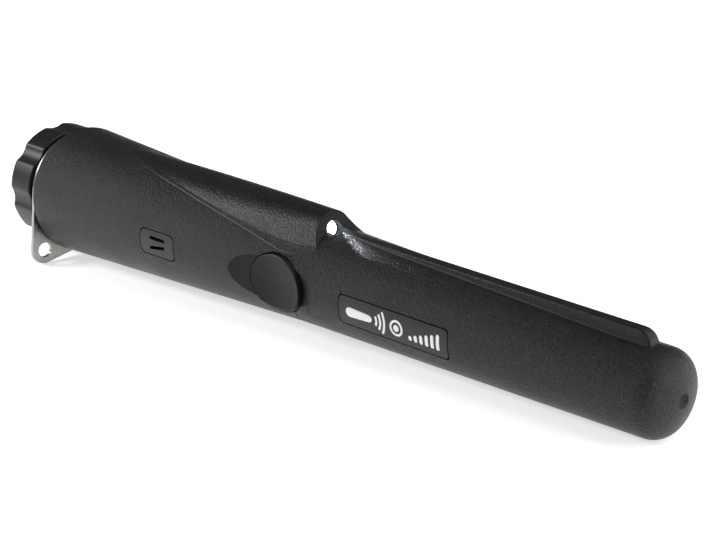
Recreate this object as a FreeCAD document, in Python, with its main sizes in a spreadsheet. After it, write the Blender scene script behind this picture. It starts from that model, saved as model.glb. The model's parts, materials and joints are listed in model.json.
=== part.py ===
"""Pinpointer probe: a hand-held wand that finds buried metal with its tip.

Frame: +X runs along the wand from the battery cap to the sensing tip, +Z is up, where the lamp
hump and the scraper blade are, and the push button faces -Y. The origin is the centre of the
cap's flat end face. Lengths are millimetres.
"""
import FreeCAD, Part
import math
import os
import re

import Sketcher
from FreeCAD import Placement, Rotation, Vector

doc = FreeCAD.newDocument("PinpointerProbe")

# ---------------------------------------------------------------- driving dimensions
SIZES = {
    # whole wand
    "overall_length": (234.4, "cap end face to sensing tip"),
    "rim_position": (14.5, "battery end of the housing"),
    "rim_radius": (19.4, "outer radius at the battery end"),
    "waist_position": (122.7, "where the taper becomes slighter"),
    "waist_radius": (13.54, "outer radius at the waist"),
    "tip_radius": (10.4, "outer radius where the tip's dome begins"),
    "dome_depth": (6.34, "height of the tip's dome"),
    "dome_radius": (17.0, "radius of the dome round its middle"),
    "rim_round": (0.5, "round on the rim's edge"),
    "dimple_radius": (1.8, "moulding gate dimple in the tip"),
    "dimple_depth": (0.9, "depth of the gate dimple"),
    # cavity
    "seal_bore": (16.9, "smooth bore for the sealing ring"),
    "seal_depth": (3.6, "length of the smooth bore"),
    "mouth_radius": (16.05, "bore with the housing's thread"),
    "mouth_depth": (11.0, "depth of the housing's mouth"),
    "bay_radius": (14.6, "battery bay"),
    "bay_stop": (76.0, "end of the battery and speaker bay"),
    "board_start": (90.0, "start of the circuit board bore"),
    "board_radius": (10.0, "radius of the circuit board bore"),
    "board_stop": (152.0, "end of the circuit board bore"),
    "nose_radius": (8.9, "bore radius at the end of the coil"),
    "nose_stop": (230.0, "end of the cavity"),
    # lamp hump and blade
    "hump_top": (18.05, "height of the hump above the axis"),
    "hump_start": (24.0, "where the hump has run into the taper"),
    "hump_middle": (77.2, "widest section of the hump"),
    "hump_arch_start": (4.2, "radius of the hump's back at its start"),
    "hump_arch_middle": (9.8, "radius of the hump's back in the middle"),
    "hump_arch_front": (5.2, "radius of the hump's back at the lamp"),
    "face_position": (126.4, "upright part of the lamp face"),
    "face_cove": (8.4, "radius of the cove below the lamp face"),
    "cove_top": (17.3, "height where the cove begins"),
    "lamp_height": (12.8, "lamp axis above the wand's axis"),
    "lamp_radius": (2.5, "5 mm lamp"),
    "lamp_bore": (2.65, "bore for the lamp"),
    "blade_start": (130.2, "start of the scraper blade"),
    "blade_end": (226.4, "end of the scraper blade"),
    "blade_top": (13.6, "height of the blade above the axis"),
    "blade_top_half": (1.45, "half width of the blade's flat top"),
    "blade_root_half": (2.1, "half width of the blade's root"),
    "blade_root": (9.0, "height of the blade's hidden root"),
    "blade_nose": (3.4, "round on the blade's front corner"),
    "blade_edge": (0.6, "round on the blade's edges"),
    # push button and its thumb scoop
    "button_position": (118.5, "button axis along the wand"),
    "button_half_length": (9.65, "half the length of the oval button"),
    "button_half_height": (7.8, "half the height of the oval button"),
    "button_middle": (-0.5, "height of the button's middle"),
    "button_crown": (14.6, "distance of the button's uncut face from the axis"),
    "button_gap": (0.3, "gap round the button"),
    "button_flange_margin": (1.4, "how far the hidden flange stands out round the button"),
    "button_flange_thickness": (1.2, "thickness of the hidden flange"),
    "dish_radius": (28.0, "radius of the button's dish"),
    "dish_bottom": (11.92, "distance of the dish's lowest point from the axis"),
    "dish_shift": (1.0, "how far the dish lies towards the cap"),
    "scoop_radius": (83.0, "radius of the thumb scoop"),
    "scoop_position": (120.9, "deepest place of the thumb scoop"),
    "scoop_bottom": (12.35, "distance of the scoop's lowest point from the axis"),
    "switch_height": (3.5, "height of the tactile switch"),
    "plunger_radius": (1.7, "radius of the switch's plunger"),
    "plunger_top": (5.0, "distance of the plunger's top from the axis"),
    # inset plates
    "inset_depth": (0.8, "depth of the seats for the inset plates"),
    "inset_groove": (0.3, "groove round the inset plates"),
    "plate_start": (141.8, "start of the name plate"),
    "plate_length": (35.9, "length of the name plate"),
    "plate_height": (8.0, "height of the name plate"),
    "plate_corner": (1.2, "corner radius of the name plate"),
    "plate_middle": (-0.7, "height of the name plate's middle"),
    "port_start": (64.9, "start of the speaker port plate"),
    "port_length": (14.5, "length of the speaker port plate"),
    "port_height": (7.7, "height of the speaker port plate"),
    "port_corner": (1.8, "corner radius of the speaker port plate"),
    "port_middle": (-0.2, "height of the speaker port plate's middle"),
    "slot_start": (69.2, "start of the two sound slots"),
    "slot_length": (6.3, "length of a sound slot"),
    "slot_width": (1.0, "width of a sound slot"),
    # battery cap
    "cap_thickness": (10.7, "visible thickness of the cap"),
    "cap_radius": (18.3, "radius over the cap's lobes"),
    "cap_edge": (1.4, "round on the cap's edges"),
    "lobe_count": (8, "grip lobes round the cap"),
    "flute_radius": (6.5, "radius of the flutes between the lobes"),
    "flute_depth": (0.9, "depth of the flutes"),
    "lobe_blend": (2.0, "round between a lobe and a flute"),
    "flute_angle": (3.0, "turn of the first flute from +Z towards -Y, degrees"),
    "cap_wall": (3.0, "end wall of the cap"),
    "collar_radius": (17.0, "collar that keeps the ring off the cap"),
    "collar_length": (1.1, "length of the collar"),
    "cap_bore": (14.5, "hollow inside the cap"),
    "plug_radius": (15.9, "core of the cap's threaded plug"),
    "plug_end": (24.5, "end of the plug"),
    "thread_pitch": (3.0, "pitch of the cap's thread"),
    "thread_crest": (16.7, "radius over the cap's thread"),
    "thread_root_half": (0.8, "half width of the thread at its root"),
    "thread_crest_half": (0.3, "half width of the thread at its crest"),
    "thread_start": (19.1, "first turn of the cap's thread"),
    "thread_length": (4.2, "length of the cap's thread"),
    "thread_clearance": (0.12, "clearance of the housing's thread"),
    "o_ring_position": (16.6, "middle of the sealing ring"),
    "o_ring_section": (0.75, "section radius of the sealing ring"),
    "o_ring_outer": (16.84, "outer radius of the sealing ring"),
    # lanyard ring
    "ring_position": (11.9, "cap side of the lanyard ring"),
    "ring_thickness": (1.1, "thickness of the steel plate"),
    "ring_inner": (16.15, "hole that turns on the cap's plug"),
    "ring_outer": (17.7, "outer radius of the ring"),
    "ring_eye_reach": (22.75, "distance of the lanyard eye from the axis"),
    "ring_eye_radius": (2.3, "radius of the lanyard eye"),
    "ring_tab_radius": (4.3, "end radius of the tab round the eye"),
    "ring_angle": (44.1, "turn of the tab from -Z towards -Y, degrees"),
    # battery
    "pad_thickness": (2.6, "foam pad in the cap"),
    "pad_radius": (13.6, "radius of the foam pad"),
    "battery_start": (6.0, "rear end of the 9 V battery"),
    "battery_length": (44.0, "length of the battery's case"),
    "battery_width": (25.6, "width of the battery"),
    "battery_depth": (16.6, "depth of the battery"),
    "battery_corner": (3.0, "corner radius of the battery"),
    "battery_lie": (0.3, "how far the battery lies towards the button's side"),
    "battery_plate": (0.8, "thickness of the battery's end plate"),
    "battery_crimp": (2.0, "rim of the case round the end plate"),
    "stud_radius": (2.85, "radius of the battery's snap stud"),
    "socket_radius": (3.3, "outer radius of the battery's snap socket"),
    "socket_bore": (2.3, "opening of the battery's snap socket"),
    "terminal_spacing": (12.7, "distance between the battery's snaps"),
    "terminal_length": (2.6, "height of the battery's snaps"),
    # circuit board
    "contact_board_position": (56.0, "battery side of the contact board"),
    "contact_board_thickness": (1.6, "thickness of the contact board"),
    "contact_board_radius": (14.3, "radius of the contact board"),
    "board_position": (62.0, "battery end of the main board"),
    "board_length": (88.0, "length of the main board"),
    "board_width": (16.4, "width of the main board"),
    "board_thickness": (1.6, "thickness of the main board"),
    "carrier_depth": (2.4, "depth of the tray under the main board"),
    "carrier_wall": (1.3, "wall of the tray"),
    # moving insides
    "motor_start": (124.0, "rear end of the vibration motor"),
    "motor_length": (12.0, "length of the vibration motor"),
    "motor_radius": (3.0, "radius of the vibration motor"),
    "motor_offset": (5.6, "motor axis behind the main board"),
    "weight_radius": (2.7, "radius of the eccentric weight"),
    "weight_length": (3.6, "length of the eccentric weight"),
    "shaft_radius": (0.5, "radius of the motor's shaft"),
    # coil
    "ferrite_start": (158.0, "rear end of the ferrite rod"),
    "ferrite_length": (68.0, "length of the ferrite rod"),
    "ferrite_radius": (4.0, "radius of the ferrite rod"),
    "bobbin_wall": (1.0, "wall of the coil former"),
    "bobbin_flange": (8.4, "radius of the coil former's flanges"),
    "winding_outer": (7.2, "outer radius of the windings"),
    # leads
    "wire_radius": (0.6, "radius of the insulated leads"),
    "lead_radius": (0.25, "radius of the lamp's legs"),
}

sheet = doc.addObject("Spreadsheet::Sheet", "Sizes")
for row, (alias, (value, note)) in enumerate(SIZES.items(), start=1):
    sheet.set(f"A{row}", alias)
    sheet.set(f"B{row}", str(value))
    sheet.set(f"C{row}", note)
    sheet.setAlias(f"B{row}", alias)
doc.recompute()

SUB_PARTS = []


# ---------------------------------------------------------------- helpers
def bound(formula):
    """The formula with every driving dimension written as a cell of the sheet."""
    return re.sub(r"[a-z][a-z_]+", lambda m: "Sizes." + m[0] if m[0] in SIZES else m[0], str(formula))


def size(formula):
    """The number a formula has now."""
    return float(sheet.evalExpression(bound(formula)))


def bind(thing, **formulas):
    for name, formula in formulas.items():
        thing.setExpression(name.replace("__", "."), bound(formula))
    return thing


def place(thing, x=0, y=0, z=0, turn=None):
    if turn is not None:
        thing.Placement = Placement(Vector(), turn)
    return bind(thing, Placement__Base__x=x, Placement__Base__y=y, Placement__Base__z=z)


ALONG_X = Rotation(Vector(0, 1, 0), 90)
ALONG_Y = Rotation(Vector(1, 0, 0), -90)
ALONG_Z = Rotation()


def cylinder(name, radius, length, x=0, y=0, z=0, along=ALONG_X):
    thing = doc.addObject("Part::Cylinder", name)
    bind(thing, Radius=radius, Height=length)
    return place(thing, x, y, z, along)


def cone(name, radius_a, radius_b, length, x=0, y=0, z=0, along=ALONG_X):
    thing = doc.addObject("Part::Cone", name)
    bind(thing, Radius1=radius_a, Radius2=radius_b, Height=length)
    return place(thing, x, y, z, along)


def block(name, start, extent):
    """A box from its lowest corner and its size, three formulas each."""
    thing = doc.addObject("Part::Box", name)
    bind(thing, Length=extent[0], Width=extent[1], Height=extent[2])
    return place(thing, *start)


def ball(name, radius, x=0, y=0, z=0):
    thing = doc.addObject("Part::Sphere", name)
    bind(thing, Radius=radius)
    return place(thing, x, y, z)


def torus(name, big, small, x=0, y=0, z=0):
    thing = doc.addObject("Part::Torus", name)
    bind(thing, Radius1=big, Radius2=small)
    return place(thing, x, y, z, ALONG_X)


def cut(name, base, tool):
    thing = doc.addObject("Part::Cut", name)
    thing.Base = base
    thing.Tool = tool
    return thing


def fuse(name, *pieces):
    thing = doc.addObject("Part::MultiFuse", name)
    thing.Shapes = list(pieces)
    thing.Refine = True
    return thing


def group(name, *pieces):
    """Identical separate solids that share one sub-part."""
    thing = doc.addObject("Part::Compound", name)
    thing.Links = list(pieces)
    return thing


def common(name, a, b):
    thing = doc.addObject("Part::MultiCommon", name)
    thing.Shapes = [a, b]
    return thing


def fillet(name, base, radius, wanted):
    """Rounds those edges of the base that the function wanted picks."""
    doc.recompute()
    chosen = [i for i, edge in enumerate(base.Shape.Edges, start=1) if wanted(edge)]
    if not chosen:
        raise RuntimeError(f"{name}: no edge to round")
    thing = doc.addObject("Part::Fillet", name)
    thing.Base = base
    thing.Edges = [(i, size(radius), size(radius)) for i in chosen]
    return thing


SKETCH_PLANES = {
    "XZ": Rotation(Vector(1, 0, 0), 90),
    "XY": Rotation(),
    "YZ": Rotation(Vector(1, 1, 1), 120),
}


def outline(name, points, plane="XZ", arcs=None, x=0, y=0, z=0):
    """A closed sketch through the points. arcs maps an edge's number to (radius, centre), where the
    centre only says on which side the arc's centre lies."""
    arcs = arcs or {}
    sketch = doc.addObject("Sketcher::SketchObject", name)
    now = [Vector(size(px), size(py), 0) for px, py in points]
    count = len(now)
    for i in range(count):
        start, end = now[i], now[(i + 1) % count]
        if i in arcs:
            radius, (cx, cy) = arcs[i]
            centre = Vector(size(cx), size(cy), 0)
            chord = (start + end) / 2
            middle = centre + (chord - centre).normalize() * size(radius)
            sketch.addGeometry(Part.Arc(start, middle, end))
        else:
            sketch.addGeometry(Part.LineSegment(start, end))
    begin = [1] * count
    finish = [2] * count
    for i in arcs:
        arc_start = sketch.getPoint(i, 1)
        if arc_start.distanceToPoint(now[i]) > 1e-6:
            begin[i], finish[i] = 2, 1
    for i in range(count):
        j = (i + 1) % count
        sketch.addConstraint(Sketcher.Constraint("Coincident", i, finish[i], j, begin[j]))
    for i, (px, py) in enumerate(points):
        for kind, formula, axis in (("DistanceX", px, -2), ("DistanceY", py, -1)):
            value = size(formula)
            if formula == "0":
                sketch.addConstraint(Sketcher.Constraint("PointOnObject", i, begin[i], axis))
                continue
            number = sketch.addConstraint(Sketcher.Constraint(kind, -1, 1, i, begin[i], value))
            sketch.setExpression(f"Constraints[{number}]", bound(formula))
    for i, (radius, _) in arcs.items():
        number = sketch.addConstraint(Sketcher.Constraint("Radius", i, size(radius)))
        sketch.setExpression(f"Constraints[{number}]", bound(radius))
    return place(sketch, x, y, z, SKETCH_PLANES[plane])


def revolve(name, sketch):
    """The sketch turned once round the wand's axis."""
    thing = doc.addObject("Part::Revolution", name)
    thing.Source = sketch
    thing.Axis = Vector(1, 0, 0)
    thing.Base = Vector(0, 0, 0)
    thing.Angle = 360
    thing.Solid = True
    return thing


def extrude(name, sketch, direction, length, both=False):
    thing = doc.addObject("Part::Extrusion", name)
    thing.Base = sketch
    thing.DirMode = "Custom"
    thing.Dir = direction
    thing.Solid = True
    thing.Symmetric = both
    return bind(thing, LengthFwd=length)


def sub_part(label, thing):
    """Names a finished sub-part; its label is its file's name."""
    thing.Label = label
    SUB_PARTS.append((label, thing))
    return thing


def rounded_prism(name, start, length, height, corner, middle_z="0", reach="30"):
    """A bar along Y whose XZ section is a rectangle with round corners, on the -Y side."""
    half = f"({height}) / 2"
    low, high = f"({middle_z}) - {half}", f"({middle_z}) + {half}"
    left, right = start, f"({start}) + ({length})"
    points = [
        (f"{left} + {corner}", low), (f"{right} - {corner}", low),
        (right, f"{low} + {corner}"), (right, f"{high} - {corner}"),
        (f"{right} - {corner}", high), (f"{left} + {corner}", high),
        (left, f"{high} - {corner}"), (left, f"{low} + {corner}"),
    ]
    arcs = {
        1: (corner, (f"{right} - {corner}", f"{low} + {corner}")),
        3: (corner, (f"{right} - {corner}", f"{high} - {corner}")),
        5: (corner, (f"{left} + {corner}", f"{high} - {corner}")),
        7: (corner, (f"{left} + {corner}", f"{low} + {corner}")),
    }
    sketch = outline(f"{name}_outline", points, "XZ", arcs)
    return extrude(name, sketch, Vector(0, -1, 0), reach)


def lead_path(points):
    """Straight runs joined by tangent arcs, each as large as its two runs allow."""
    share = 0.45
    edges = []
    radii = []
    here = points[0]
    for i in range(1, len(points) - 1):
        corner = points[i]
        before = corner - points[i - 1]
        after = points[i + 1] - corner
        turn = before.getAngle(after)
        trim = share * min(before.Length, after.Length)
        radius = trim / math.tan(turn / 2)
        before.normalize()
        after.normalize()
        arc_start = corner - before * trim
        arc_end = corner + after * trim
        inward = (after - before).normalize()
        arc_middle = corner + inward * (radius / math.cos(turn / 2) - radius)
        edges.append(Part.LineSegment(here, arc_start).toShape())
        edges.append(Part.Arc(arc_start, arc_middle, arc_end).toShape())
        radii.append(round(radius, 1))
        here = arc_end
    edges.append(Part.LineSegment(here, points[-1]).toShape())
    length = sum(edge.Length for edge in edges)
    return Part.Wire(edges), length, radii


def lead(name, points, radius):
    """One insulated lead: a round tube along the path through the points."""
    points = [Vector(*(size(value) for value in point)) for point in points]
    path, length, radii = lead_path(points)
    section = Part.Wire(Part.makeCircle(size(radius), points[0], points[1] - points[0]))
    solid = path.makePipeShell([section], True, False)
    expected = math.pi * size(radius) ** 2 * length
    if abs(solid.Volume / expected - 1) > 0.01:
        raise RuntimeError(f"{name}: volume {solid.Volume:.2f}, expected {expected:.2f}")
    print(f"{name}: length {length:.1f} mm, bend radii {radii}")
    thing = doc.addObject("Part::Feature", name)
    thing.Shape = solid
    return thing


# ---------------------------------------------------------------- shared shapes of the wand
REAR_SLOPE = "((rim_radius - waist_radius) / (waist_position - rim_position))"
FRONT_SLOPE = "((waist_radius - tip_radius) / (overall_length - dome_depth - waist_position))"


def rear_radius(x):
    return f"(rim_radius - {REAR_SLOPE} * (({x}) - rim_position))"


def front_radius(x):
    return f"(waist_radius - {FRONT_SLOPE} * (({x}) - waist_position))"


def seat_ring(name, start, length, radius_at, depth):
    """The skin of the tapered wand between two stations, as deep as an inset plate."""
    end = f"({start}) + ({length})"
    outer = cone(f"{name}_outer", radius_at(start), radius_at(end), length, x=start)
    inner = cone(f"{name}_inner", f"{radius_at(start)} - ({depth})", f"{radius_at(end)} - ({depth})",
                 length, x=start)
    return cut(name, outer, inner)


def make_outer():
    """The tapered wand without hump, blade or cavity. Its tip is a low dome of two tangent arcs."""
    dome_start = "overall_length - dome_depth"
    corner = ("((2 * dome_depth * dome_radius - dome_depth ^ 2 - tip_radius ^ 2)"
              " / (2 * (dome_radius - tip_radius)))")
    crown_centre = ("overall_length - dome_radius", "0")
    corner_centre = (dome_start, f"tip_radius - {corner}")
    share = f"(dome_radius / (dome_radius - {corner}))"
    joint = (f"overall_length - dome_radius + {share} * (dome_radius - dome_depth)",
             f"{share} * (tip_radius - {corner})")
    edge_end = "rim_position + rim_round"
    sketch = outline("wand_outline", [
        ("rim_position", "0"), ("rim_position", "rim_radius - rim_round"),
        (edge_end, rear_radius(edge_end)), ("waist_position", "waist_radius"),
        (dome_start, "tip_radius"), joint, ("overall_length", "0"),
    ], arcs={1: ("rim_round", (edge_end, "rim_radius - rim_round")),
             4: (corner, corner_centre), 5: ("dome_radius", crown_centre)})
    return revolve("wand_blank", sketch)


def make_cavity():
    sketch = outline("cavity_outline", [
        ("rim_position - 2", "0"), ("rim_position - 2", "seal_bore"),
        ("rim_position + seal_depth", "seal_bore"), ("rim_position + seal_depth", "mouth_radius"),
        ("rim_position + mouth_depth", "mouth_radius"), ("rim_position + mouth_depth", "bay_radius"),
        ("bay_stop", "bay_radius"), ("board_start", "board_radius"), ("board_stop", "board_radius"),
        ("ferrite_start + ferrite_length", "nose_radius"), ("nose_stop", "nose_radius - 2"),
        ("nose_stop", "0"),
    ])
    return revolve("cavity", sketch)


# ---------------------------------------------------------------- housing
def hump_section(name, station, arch):
    """A round back with straight flanks that stand 3 across for every 4 up."""
    flank = f"(0.6 * hump_top + 0.4 * {arch})"
    sketch = outline(name, [
        (f"-0.8 * {flank}", f"0.6 * {flank}"), (f"0.8 * {flank}", f"0.6 * {flank}"),
        (f"0.8 * {arch}", f"hump_top - 0.4 * {arch}"), (f"-0.8 * {arch}", f"hump_top - 0.4 * {arch}"),
    ], "YZ", {2: (arch, ("0", f"hump_top - {arch}"))}, x=station)
    return sketch


def make_hump():
    loft = doc.addObject("Part::Loft", "hump_loft")
    loft.Sections = [
        hump_section("hump_section_start", "hump_start", "hump_arch_start"),
        hump_section("hump_section_middle", "hump_middle", "hump_arch_middle"),
        hump_section("hump_section_front", "face_position + 6", "hump_arch_front"),
    ]
    loft.Solid = True
    loft.Ruled = False
    reach = "(face_cove - 3.8)"
    foot = "(cove_top - sqrt(face_cove ^ 2 - 3.8 ^ 2))"
    sketch = outline("lamp_face_outline", [
        ("face_position", "cove_top + 12"), ("face_position", "cove_top"),
        (f"face_position + {reach}", foot), ("face_position + 20", foot),
        ("face_position + 20", "cove_top + 12"),
    ], "XZ", {1: ("face_cove", ("face_position + face_cove", "cove_top"))})
    front = extrude("lamp_face_cutter", sketch, Vector(0, -1, 0), 60, both=True)
    return cut("hump", loft, front)


def make_blade():
    sketch = outline("blade_outline", [
        ("-blade_root_half", "blade_root"), ("blade_root_half", "blade_root"),
        ("blade_top_half", "blade_top"), ("-blade_top_half", "blade_top"),
    ], "YZ", x="blade_start")
    bar = extrude("blade_bar", sketch, Vector(1, 0, 0), "blade_end - blade_start")
    top, end = size("blade_top"), size("blade_end")
    nosed = fillet("blade_nosed", bar, "blade_nose",
                   lambda e: e.BoundBox.ZMin > top - 0.01 and e.BoundBox.XMin > end - 0.01)
    root = size("blade_root")
    return fillet("blade_softened", nosed, "blade_edge",
                  lambda e: e.BoundBox.ZMax > root + 0.01 and e.BoundBox.YLength < 0.5
                  and e.BoundBox.XMax > size("blade_start") + 1)


def thread_ridge(name, start, length, ease):
    """The thread's ridge: a trapezoid swept along a right-hand helix round the wand's axis. ease
    makes it larger all round, for the groove that it runs in."""
    helix = doc.addObject("Part::Helix", f"{name}_helix")
    bind(helix, Pitch="thread_pitch", Height=length, Radius="plug_radius")
    place(helix, x=start, turn=ALONG_X)
    hidden = "-(plug_radius - 0.3)"
    section = outline(f"{name}_section", [
        (f"{start} - thread_root_half - {ease}", hidden),
        (f"{start} - thread_crest_half - {ease}", f"-(thread_crest + {ease})"),
        (f"{start} + thread_crest_half + {ease}", f"-(thread_crest + {ease})"),
        (f"{start} + thread_root_half + {ease}", hidden),
    ])
    sweep = doc.addObject("Part::Sweep", name)
    sweep.Sections = [section]
    doc.recompute()
    turns = [f"Edge{i + 1}" for i in range(len(helix.Shape.Edges))]
    sweep.Spine = (helix, turns)
    sweep.Solid = True
    sweep.Frenet = True
    return sweep


def make_housing(outer, cavity, scoop):
    shell = fuse("housing_outside", outer, make_hump(), make_blade())
    hollow = cut("housing_hollow", shell, cavity)
    hole = oval_post("button_hole", "button_gap", -22, 20)
    bore = cylinder("lamp_bore_tool", "lamp_bore", 17, x="face_position - 12.5", z="lamp_height")
    pocket = block("lamp_lead_pocket", ("face_position - 18", -2.7, 8),
                   (7.5, 5.4, "lamp_height + lamp_bore - 8"))
    dimple_ball = "((dimple_radius ^ 2 + dimple_depth ^ 2) / (2 * dimple_depth))"
    dimple = ball("gate_dimple", dimple_ball, x=f"overall_length - dimple_depth + {dimple_ball}")
    plate_seat = inset("plate_seat", "plate_start", "plate_length", "plate_height",
                       "plate_corner", front_radius, "inset_depth", "0", "plate_middle")
    port_seat = inset("port_seat", "port_start", "port_length", "port_height",
                      "port_corner", rear_radius, "inset_depth", "0", "port_middle")
    tools = [scoop, hole, bore, pocket, dimple, plate_seat, port_seat]
    plain = cut("housing_plain", hollow, fuse("housing_tools", *tools, *sound_slots("wall_slot")))
    groove = thread_ridge("housing_groove", "thread_start - thread_pitch",
                          "thread_length + thread_pitch + 0.5", "thread_clearance")
    return sub_part("housing", cut("housing_threaded", plain, groove))


def inset(name, start, length, height, corner, radius_at, depth, groove, middle_z):
    """A plate that follows the taper, smaller than its seat by the groove all round."""
    skin = seat_ring(f"{name}_skin", f"{start} - 2", f"{length} + 4", radius_at, depth)
    prism = rounded_prism(f"{name}_prism", f"{start} + {groove}", f"{length} - 2 * {groove}",
                          f"{height} - 2 * {groove}", corner, middle_z)
    return common(name, skin, prism)


def sound_slots(name):
    """Two slots through the port plate and the wall; they lean towards each other."""
    slots = []
    for number, (middle, lean) in enumerate(((1.4, -1.0), (-1.65, 8.5)), start=1):
        slot = block(f"{name}_{number}", ("slot_start", -30, f"{middle} - slot_width / 2"),
                     ("slot_length", 22, "slot_width"))
        slot.Placement = Placement(slot.Placement.Base, Rotation(Vector(0, 1, 0), -lean))
        bind(slot, Placement__Base__x="slot_start", Placement__Base__y=-30,
             Placement__Base__z=f"{middle} - slot_width / 2")
        slots.append(slot)
    return slots


# ---------------------------------------------------------------- plates and button
def make_plates():
    sub_part("nameplate", inset("nameplate_inset", "plate_start", "plate_length", "plate_height",
                                "plate_corner", front_radius, "inset_depth - 0.02",
                                "inset_groove", "plate_middle"))
    port = inset("port_inset", "port_start", "port_length", "port_height", "port_corner",
                 rear_radius, "inset_depth - 0.02", "inset_groove", "port_middle")
    sub_part("speaker_port_plate", cut("port_slotted", port,
                                       fuse("port_slots", *sound_slots("port_slot"))))


def oval_post(name, margin, start, length):
    """An oval bar along Y through the button's opening, larger than the button by the margin."""
    oval = doc.addObject("Part::Ellipse", f"{name}_oval")
    bind(oval, MajorRadius=f"button_half_length + {margin}",
         MinorRadius=f"button_half_height + {margin}")
    place(oval, x="button_position", y=start, z="button_middle", turn=ALONG_Y)
    return extrude(name, oval, Vector(0, 1, 0), length)


def make_button():
    """A rubber button that stands a little proud, with a dish for the fingertip and a
    saddle-shaped flange that stays behind the housing's wall."""
    flange_edge = 3.4
    inner = "board_radius - 0.07 - button_flange_thickness"
    crown = cylinder("button_crown_limit", "button_crown", 40, x="button_position - 20")
    neck = common("button_neck", crown, oval_post("button_post", "0", -22, 22 - flange_edge))
    flange = common("button_flange", oval_post("flange_post", "button_flange_margin", -12,
                                               12 - flange_edge),
                    cylinder("flange_wrap", "board_radius - 0.07", 40, x="button_position - 20"))
    hollow = cylinder("button_hollow", inner, 40, x="button_position - 20")
    dish = ball("button_dish", "dish_radius", x="button_position - dish_shift",
                y="-(dish_bottom + dish_radius)", z="button_middle")
    solid = cut("button_shaped", fuse("button_blank", neck, flange),
                fuse("button_tools", hollow, dish))
    sub_part("power_button", solid)
    stem = cylinder("actuator_stem", 1.6, f"{inner} - plunger_top + 1", x="button_position",
                    y=f"-({inner} + 1)", along=ALONG_Y)
    limit = cylinder("actuator_limit", f"{inner} - 0.02", 6, x="button_position - 3")
    sub_part("button_actuator", common("actuator", stem, limit))


def make_switch():
    face = "board_thickness / 2"
    half = 3.0
    case = block("switch_case", (f"button_position - {half}", f"-({face} + switch_height)", -half),
                 (2 * half, "switch_height", 2 * half))
    well = cylinder("switch_well", "plunger_radius + 0.1", "switch_height - 2.2",
                    x="button_position", y=f"-({face} + switch_height)", along=ALONG_Y)
    sub_part("switch_body", cut("switch_hollow", case, well))
    sub_part("switch_plunger", cylinder("plunger", "plunger_radius", 1.2, x="button_position",
                                        y="-plunger_top", along=ALONG_Y))


# ---------------------------------------------------------------- battery cap and its ring
def make_cap():
    knob = cylinder("cap_disc", "cap_radius", "cap_thickness")
    flutes = []
    reach = "(cap_radius + flute_radius - flute_depth)"
    count = int(size("lobe_count"))
    for number in range(count):
        turn = f"(flute_angle + {number} * 360 / lobe_count)"
        flutes.append(cylinder(f"cap_flute_{number + 1}", "flute_radius", "cap_thickness + 4", x=-2,
                               y=f"-{reach} * sin({turn} * 1deg)", z=f"{reach} * cos({turn} * 1deg)"))
    fluted = cut("cap_fluted", knob, fuse("cap_flutes", *flutes))
    inner_face = size("cap_thickness")
    softened = fillet("cap_softened", fluted, "lobe_blend", lambda e: e.BoundBox.XLength > 5)
    rounded = fillet("cap_rounded", softened, "cap_edge", lambda e: e.BoundBox.XMax < 0.01)
    lobed = fillet("cap_lobed", rounded, 0.5, lambda e: e.BoundBox.XMin > inner_face - 0.01)
    plug = cylinder("cap_plug", "plug_radius", "plug_end - cap_thickness + 1",
                    x="cap_thickness - 1")
    collar = cylinder("cap_collar", "collar_radius", "collar_length + 1", x="cap_thickness - 1")
    hollow = cylinder("cap_hollow", "cap_bore", "plug_end", x="cap_wall")
    groove = cut("seal_groove", cylinder("seal_groove_outer", "plug_radius + 1",
                                         "2.2 * o_ring_section", x="o_ring_position - 1.1"
                                         " * o_ring_section"),
                 cylinder("seal_groove_inner", "o_ring_outer - 2 * o_ring_section - 0.03", 6,
                          x="o_ring_position - 3"))
    body = cut("cap_body", fuse("cap_with_plug", lobed, plug, collar), fuse("cap_tools", hollow, groove))
    ridge = thread_ridge("cap_thread", "thread_start", "thread_length", "0")
    ends = common("cap_thread_trimmed", ridge, cylinder(
        "cap_thread_sleeve", "plug_radius + 2", "plug_end - thread_start + 1.2",
        x="thread_start - 1.2"))
    sub_part("battery_cap", fuse("cap_threaded", body, ends))
    sub_part("cap_o_ring", torus("o_ring", "o_ring_outer - o_ring_section", "o_ring_section",
                                 x="o_ring_position"))
    sub_part("battery_pad", cylinder("pad", "pad_radius", "pad_thickness", x="cap_wall + 0.1"))


def make_lanyard_ring():
    """A flat washer with straight tangent sides that run out to a round eye."""
    lean = "((ring_outer - ring_tab_radius) / ring_eye_reach)"
    rise = f"(sqrt(1 - {lean} ^ 2))"
    washer = cylinder("ring_washer", "ring_outer", "ring_thickness")
    eye = cylinder("ring_tab_end", "ring_tab_radius", "ring_thickness", y="ring_eye_reach")
    sides = extrude("ring_tab", outline("ring_tab_outline", [
        (f"ring_outer * {lean}", f"-ring_outer * {rise}"),
        (f"ring_eye_reach + ring_tab_radius * {lean}", f"-ring_tab_radius * {rise}"),
        (f"ring_eye_reach + ring_tab_radius * {lean}", f"ring_tab_radius * {rise}"),
        (f"ring_outer * {lean}", f"ring_outer * {rise}"),
    ], "YZ"), Vector(1, 0, 0), "ring_thickness")
    middle = cylinder("ring_hole", "ring_inner", 4, x=-2)
    eye_hole = cylinder("ring_eye", "ring_eye_radius", 4, x=-2, y="ring_eye_reach")
    plate = cut("ring_plate", fuse("ring_blank", washer, eye, sides),
                fuse("ring_holes", middle, eye_hole))
    held = doc.addObject("Part::Compound", "ring_held")
    held.Links = [plate]
    held.Placement = Placement(Vector(), Rotation(Vector(1, 0, 0), 270 - size("ring_angle")))
    bind(held, Placement__Base__x="ring_position",
         Placement__Rotation__Angle="(270 - ring_angle) * 1deg")
    sub_part("lanyard_ring", held)


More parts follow.
